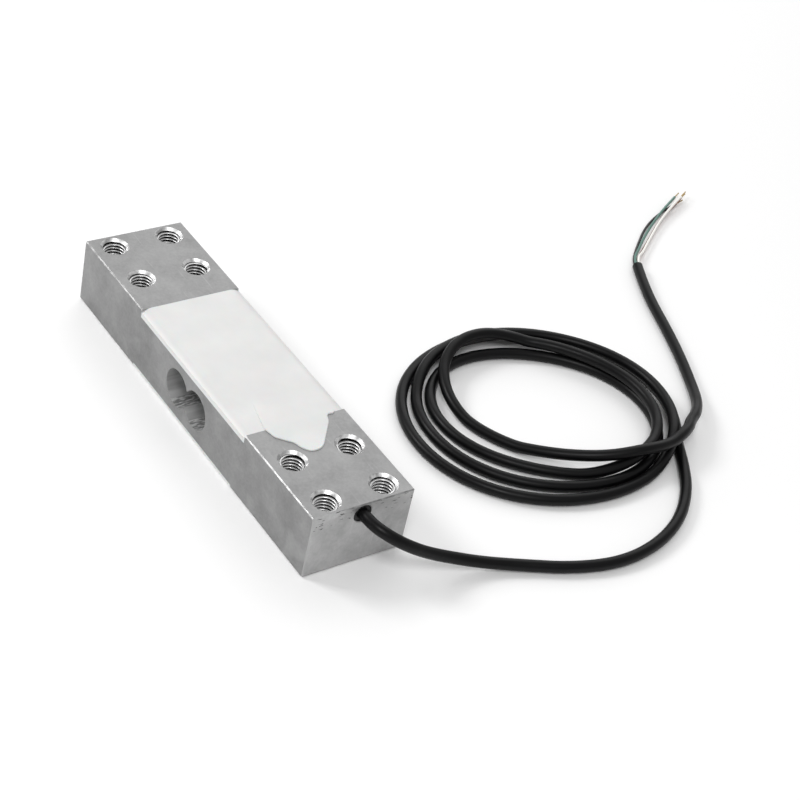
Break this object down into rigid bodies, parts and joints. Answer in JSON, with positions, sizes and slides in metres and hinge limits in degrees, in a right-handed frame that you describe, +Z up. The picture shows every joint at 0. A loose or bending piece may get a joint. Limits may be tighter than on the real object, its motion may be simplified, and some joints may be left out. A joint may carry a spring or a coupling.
{
  "type": "single-point load cell",
  "caption": "Aluminium single-point weighing load cell with a double bore, white silicone over its strain gauges and a long black cable lying in a loose coil.",
  "frame": {"origin": "middle of the beam's underside", "axes": "+X along the beam towards the end that the cable leaves, +Z up through the platform face"},
  "size_m": [0.1872, 0.2673, 0.0245],
  "materials": {
    "milled_aluminium": "milled and lightly brushed",
    "silicone": "smooth white silicone",
    "cable_jacket": "soft black PVC",
    "potting": "dark potting",
    "circuit_board": "solder mask",
    "resistor_body": "fired ceramic",
    "gauge_film": "amber film",
    "gauge_wire": "enamel",
    "tinned_copper": "tinned",
    "core_black": "PVC",
    "core_red": "PVC",
    "core_green": "PVC",
    "core_white": "PVC"
  },
  "bodies": {
    "root": {"beam": "milled_aluminium", "top_gauge_far": "gauge_film", "top_gauge_near": "gauge_film", "bottom_gauge_far": "gauge_film", "bottom_gauge_near": "gauge_film", "terminal_board": "circuit_board", "trim_resistor_1": "resistor_body", "trim_resistor_2": "resistor_body", "trim_resistor_3": "resistor_body", "top_near_wire_left": "gauge_wire", "top_near_wire_right": "gauge_wire", "top_far_wire_left": "gauge_wire", "top_far_wire_right": "gauge_wire", "bottom_near_wire_left": "gauge_wire", "bottom_near_wire_right": "gauge_wire", "bottom_far_wire_left": "gauge_wire", "bottom_far_wire_right": "gauge_wire", "inner_core_black": "core_black", "inner_core_green": "core_green", "inner_core_white": "core_white", "inner_core_red": "core_red", "cable_in_beam": "cable_jacket", "cable_seal": "potting", "top_sealant": "silicone", "bottom_sealant": "silicone", "cable_lead": "cable_jacket", "cable_coil": "cable_jacket", "cable_tail": "cable_jacket", "core_black": "core_black", "core_red": "core_red", "core_green": "core_green", "core_white": "core_white", "conductor_black": "tinned_copper", "conductor_red": "tinned_copper", "conductor_green": "tinned_copper", "conductor_white": "tinned_copper"}
  },
  "joints": []
}
